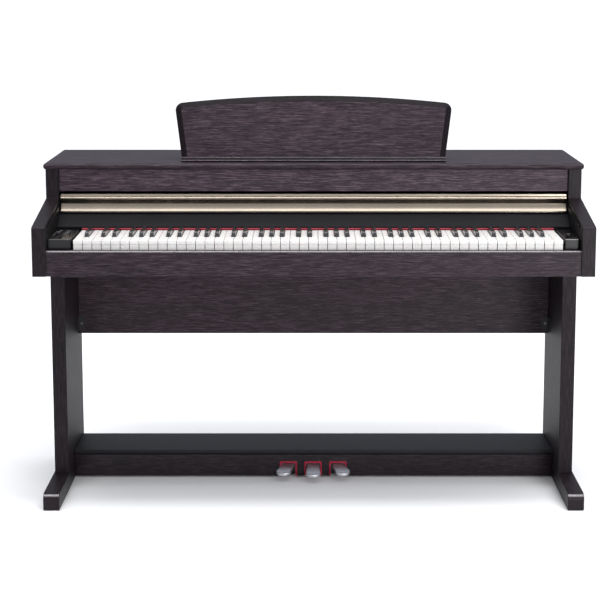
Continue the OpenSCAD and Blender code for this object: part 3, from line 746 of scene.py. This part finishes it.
def make_handle():
    """Extruded handle: a set-back flange, a bead, a slope that faces down, and a cove to the lip."""
    low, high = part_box("cover_handle")
    front, back = low.y, high.y
    bead_r, lip_r, sag, cove_steps = 5 * MM, 1.6 * MM, 1.1 * MM, 14
    bead_y, bead_z = front + bead_r + 0.5 * MM, high.z - 11 * MM
    flange_y = bead_y + 1.5 * MM
    deep = Vector((front + 9 * MM, bead_z - 14.5 * MM))
    lip = Vector((front + 0.4 * MM, low.z + 4 * MM))
    chord = lip - deep
    cove_r = chord.length ** 2 / 8 / sag + sag / 2
    out = Vector((chord.y, -chord.x)).normalized()
    centre = (deep + lip) / 2 + out * (cove_r - sag)
    cove = [centre + cove_r * (lip - centre).slerp(deep - centre, i / cove_steps).normalized()
            for i in range(cove_steps + 1)]
    bead = arc((bead_y, bead_z), bead_r, 235, 100, 16)
    profile = [
        (back, low.z), (front + 2 * MM, low.z),
        *arc((front + lip_r, low.z + lip_r), lip_r, 250, 180, 5), *cove, *bead,
        (flange_y, bead_z + bead_r + 0.6 * MM), (flange_y, high.z - 1 * MM),
        (flange_y + 1 * MM, high.z), (back, high.z),
    ]
    piece("handle_profile", lambda bm: along_x(bm, profile, low.x, high.x), GOLD,
          body_of("cover_handle"), ["cover_handle"])


make_handle()


# ---- keys ----

WHITE_W, SHARP_SPACE, KEY_GAP = 23.5 * MM, 12.7 * MM, 1.0 * MM
KEY_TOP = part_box("low_white_keys")[1].z
KEY_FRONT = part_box("low_white_keys")[0].y
KEY_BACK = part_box("low_white_keys")[1].y
KEY_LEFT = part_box("low_white_keys")[0].x - KEY_GAP / 2
HEAD_LEN = 52 * MM
# Widths of the white keys' tails between the black keys, from C to E and from F to B.
TAIL_CE = (3 * WHITE_W - 2 * SHARP_SPACE) / 3
TAIL_FB = (4 * WHITE_W - 3 * SHARP_SPACE) / 4
# Keys are numbered from the lowest A, which is 0. The octave from middle C up has its own nodes.
MIDDLE_FIRST, MIDDLE_LAST, LAST_KEY = 39, 50, 87
PITCH_NAMES = ["c", "c_sharp", "d", "d_sharp", "e", "f", "f_sharp", "g", "g_sharp", "a", "a_sharp", "b"]


def pitch(n):
    """Pitch of key n within its octave, 0 for C."""
    return (n + 9) % 12


def is_sharp(n):
    return "sharp" in PITCH_NAMES[pitch(n)]


def octave_left(n):
    """X of the left side of the C in key n's octave. The lowest octave starts with its A."""
    return KEY_LEFT + (7 * ((n + 9) // 12) - 5) * WHITE_W


def white_key(bm, n):
    """A white key: a top plate cut out for its black neighbours, and an apron set back under its lip."""
    plate, apron, overlap = 9.5 * MM, 27 * MM, 0.5 * MM
    lip, thick, inset = 0.9 * MM, 3.1 * MM, 0.25 * MM
    left = octave_left(n)
    p = pitch(n)
    i = p // 2 if p < 5 else (p + 1) // 2
    x0 = left + i * WHITE_W + KEY_GAP / 2
    x1 = x0 + WHITE_W - KEY_GAP
    if i < 3:
        tail_left, tail = left + i * (TAIL_CE + SHARP_SPACE), TAIL_CE
    else:
        tail_left, tail = left + 3 * WHITE_W + (i - 3) * (TAIL_FB + SHARP_SPACE), TAIL_FB
    t0 = x0 if n == 0 else max(x0, tail_left)
    t1 = x1 if n == LAST_KEY else min(x1, tail_left + tail)
    neck = KEY_FRONT + HEAD_LEN
    outline = [(x0, KEY_FRONT), (x1, KEY_FRONT)]
    outline += [(x1, neck), (t1, neck)] if t1 < x1 else []
    outline += [(t1, KEY_BACK), (t0, KEY_BACK)]
    outline += [(t0, neck), (x0, neck)] if t0 > x0 else []
    loft(bm, [[(x, y, z) for x, y in outline] for z in (KEY_TOP - plate, KEY_TOP)])
    box(bm, (x0 + inset, KEY_FRONT + lip, KEY_TOP - apron),
        (x1 - inset, KEY_FRONT + lip + thick, KEY_TOP - plate + overlap))


def black_key(bm, n):
    """A black key: a low base, and a body that narrows to its top and slopes at its front."""
    p = pitch(n)
    left = octave_left(n)
    if p < 5:
        mid = left + (p + 1) / 2 * TAIL_CE + p / 2 * SHARP_SPACE
    else:
        mid = left + 3 * WHITE_W + (p - 4) / 2 * TAIL_FB + (p - 5) / 2 * SHARP_SPACE
    half, top_half, rise, drop = 5.25 * MM, 4.5 * MM, 12 * MM, 12 * MM
    front, raised_back = at_depth(86 * MM), at_depth(185 * MM)
    box(bm, (mid - half, front, KEY_TOP - drop), (mid + half, KEY_BACK, KEY_TOP - 1 * MM))
    levels = [(-2 * MM, half, 0, 0), (1.5 * MM, half, 0, 0),
              (9 * MM, top_half + 0.1 * MM, 3.4 * MM, 0.6 * MM),
              (rise, top_half, 5.6 * MM, 0.8 * MM)]
    rings = []
    for up, h, front_slope, back_slope in levels:
        y0, y1, z = front + front_slope, raised_back - back_slope, KEY_TOP + up
        rings.append([(mid - h, y0, z), (mid + h, y0, z), (mid + h, y1, z), (mid - h, y1, z)])
    loft(bm, rings)


def make_key_caps(node, keys, shape, material, edge, segments):
    """The visible caps of a node's keys, all of one colour, as one piece."""
    def skin(bm):
        for n in keys:
            shape(bm, n)

    piece(f"{node}_caps", skin, material, body_of(node), [node], edge=edge, segments=segments)


def make_keys():
    """One piece for each key of the middle octave, and one for each colour on either side of it."""
    groups = {f"key_{PITCH_NAMES[pitch(n)]}_4": [n] for n in range(MIDDLE_FIRST, MIDDLE_LAST + 1)}
    sides = {"low": range(MIDDLE_FIRST), "high": range(MIDDLE_LAST + 1, LAST_KEY + 1)}
    for side, keys in sides.items():
        groups[f"{side}_white_keys"] = [n for n in keys if not is_sharp(n)]
        groups[f"{side}_black_keys"] = [n for n in keys if is_sharp(n)]
    for node, keys in groups.items():
        if is_sharp(keys[0]):
            make_key_caps(node, keys, black_key, BLACK_KEYS, 1.3 * MM, 4)
        else:
            make_key_caps(node, keys, white_key, WHITE_KEYS, 0.8 * MM, 3)


make_keys()


# ---- pedals ----

PEDAL_PITCH, PEDAL_MID = 68 * MM, -1 * MM
PEDAL_Z, PEDAL_T, PEDAL_PIVOT = 38 * MM, 10 * MM, at_depth(430 * MM)
# How far a pedal's plate runs in behind the beam's front face.
PEDAL_ROOT = 10 * MM
BEAM_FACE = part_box("pedal_front_board")[0].y
BEAM_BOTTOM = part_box("pedal_front_board")[0].z


def make_pedal(node, x, splay, reach):
    """A satin pedal: a round-rimmed plate that widens and dips to its tip, on a lever with a boss."""
    bend = BEAM_FACE + PEDAL_ROOT
    length = reach + PEDAL_ROOT
    tip_r, root_half, dip, crown = 20 * MM, 15 * MM, 7 * MM, 0.8
    lever_half, lever_top, boss_r = 11 * MM, PEDAL_Z - 1.2 * MM, 8 * MM
    boss_z = PEDAL_Z - PEDAL_T / 2
    # Insets and heights in millimetres, up the plate's rounded rim and in to its crowned top.
    rim = [(14, -9.6), (2.5, -9.4), (0.8, -8.6), (0, -7), (0, -3.4), (0.3, -2.0), (1.0, -1.0),
           (2.2, -0.3), (4, 0.1), (8, 0.5), (14, crown)]
    turn = Matrix.Rotation(radians(splay), 3, "Z")

    def ring(inset, lift):
        root_x, root_y = root_half - inset, 4 * MM - min(inset, 3 * MM)
        tip = arc((0, tip_r - length), tip_r - inset, 180, 360, 20)
        points = []
        for px, py in [(-root_x, root_y), *tip, (root_x, root_y)]:
            forward = max(0.0, -py / length)
            spot = turn @ Vector((px, py, lift - dip * forward * forward - crown * MM))
            points.append((x + spot.x, bend + spot.y, PEDAL_Z + spot.z))
        return points

    def skin(bm):
        loft(bm, [ring(inset * MM, lift * MM) for inset, lift in rim])
        box(bm, (x - lever_half, bend - 3 * MM, PEDAL_Z - PEDAL_T),
            (x + lever_half, PEDAL_PIVOT, lever_top))
        boss = arc((PEDAL_PIVOT, boss_z), boss_r, 0, 360, 32)[:-1]
        along_x(bm, boss, x - lever_half, x + lever_half)

    piece(f"{node}_plate", skin, CHROME, body_of(node), [node])


def make_pedal_felts():
    """Thick felt around each pedal slot, standing a little proud of the beam."""
    side, top, proud, deep = 4.5 * MM, 5.5 * MM, 1.0 * MM, 12 * MM
    half, slot_top = 24 * MM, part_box("pedal_felts")[1].z

    def gate(w, h, r):
        """Outline of a slot of half width w, up to height h, with corners of radius r."""
        left, right = arc((r - w, h - r), r, 180, 90, 5), arc((w - r, h - r), r, 90, 0, 5)
        return [(-w, BEAM_BOTTOM), *left, *right, (w, BEAM_BOTTOM)]

    def skin(bm):
        outline = gate(half, slot_top, 5 * MM) + gate(half - side, slot_top - top, 3 * MM)[::-1]
        for mid in (PEDAL_MID - PEDAL_PITCH, PEDAL_MID, PEDAL_MID + PEDAL_PITCH):
            loft(bm, [[(mid + px, y, pz) for px, pz in outline]
                      for y in (BEAM_FACE - proud, BEAM_FACE + deep)])

    piece("slot_felts", skin, RED_FELT, "cabinet", ["pedal_felts"], edge=1.0 * MM)


make_pedal("left_pedal", PEDAL_MID - PEDAL_PITCH, -14, 60 * MM)
make_pedal("middle_pedal", PEDAL_MID, 0, 72 * MM)
make_pedal("right_pedal", PEDAL_MID + PEDAL_PITCH, 14, 60 * MM)
make_pedal_felts()


# ---- studio ----

def make_floor():
    """A wide pale floor."""
    half = 300.0
    corners = [(-half, -half, 0), (half, -half, 0), (half, half, 0), (-half, half, 0)]
    mesh = bpy.data.meshes.new("floor")
    mesh.from_pydata(corners, [], [(0, 1, 2, 3)])
    f = Finish("pale_floor", specular_ior_level=0.2, roughness=0.8)
    cloud = f.noise((0.8,) * 3, detail=3)
    f.wire("Base Color", f.ramp(cloud, [(0.3, (0.86,) * 3), (0.7, (0.88,) * 3)]))
    mesh.materials.append(f.material)
    floor = add_object("floor", mesh)


def make_world():
    """Soft light, dim and cool behind, brighter in front, bright overhead, and white to the camera."""
    world = bpy.data.worlds.new("studio")
    bpy.context.scene.world = world
    world.use_nodes = True
    tree = world.node_tree
    link = tree.links.new
    split = tree.nodes.new("ShaderNodeSeparateXYZ")
    link(tree.nodes.new("ShaderNodeTexCoord").outputs["Generated"], split.inputs[0])

    def by_height(horizon, zenith):
        ramp = tree.nodes.new("ShaderNodeValToRGB")
        points = ramp.color_ramp.elements
        points[0].position, points[0].color = 0.02, (*horizon, 1)
        points[1].position, points[1].color = 0.75, (*zenith, 1)
        link(split.outputs["Z"], ramp.inputs[0])
        return ramp.outputs[0]

    def mix(factor, a, b):
        """Mixes a socket's colour with b, which is a socket or a plain colour."""
        made = tree.nodes.new("ShaderNodeMix")
        made.data_type = "RGBA"
        link(factor, made.inputs[0])
        link(a, made.inputs[MIX_A])
        if isinstance(b, bpy.types.NodeSocket):
            link(b, made.inputs[MIX_B])
        else:
            made.inputs[MIX_B].default_value = b
        return made.outputs[MIX_RESULT]

    facing = tree.nodes.new("ShaderNodeMapRange")
    facing.inputs["From Min"].default_value = 0.6
    facing.inputs["From Max"].default_value = -0.8
    link(split.outputs["Y"], facing.inputs[0])
    rear = by_height((0.14, 0.155, 0.20), (0.80, 0.83, 0.90))
    front = by_height((0.34, 0.34, 0.35), (0.86, 0.88, 0.92))
    room = mix(facing.outputs[0], rear, front)
    seen = mix(tree.nodes.new("ShaderNodeLightPath").outputs["Is Camera Ray"], room, (1, 1, 1, 1))
    link(seen, tree.nodes["Background"].inputs["Color"])


def aim(obj, target):
    """Turns a light to face a point."""
    obj.rotation_euler = (Vector(target) - obj.location).to_track_quat("-Z", "Y").to_euler()


def softbox(name, place, target, size, radiance):
    """An area light of a given brightness, which the camera doesn't see."""
    data = bpy.data.lights.new(name, "AREA")
    data.shape = "RECTANGLE"
    data.size, data.size_y = size
    data.energy = radiance * pi * size[0] * size[1]
    obj = add_object(name, data)
    obj.location = place
    aim(obj, target)
    obj.visible_camera = False


def make_lights():
    """A wide overhead sun, a softbox at the front right and a strip light over the front edge."""
    data = bpy.data.lights.new("overhead", "SUN")
    data.energy = 1.9
    data.angle = radians(60)
    sun = add_object("overhead", data)
    sun.location = (0.5, -0.5, 3.0)
    aim(sun, (0, 0, 0))
    softbox("front_right", (1.55, -2.8, 0.85), (0.55, 0, 0.7), (0.8, 1.1), 15)
    softbox("overhead_strip", (0, -0.68, 2.9), (0, -0.2, 0.7), (2.6, 0.4), 13)


make_floor()
make_world()
make_lights()
bpy.context.scene.view_settings.view_transform = "Standard"
bpy.context.scene.view_settings.look = "None"
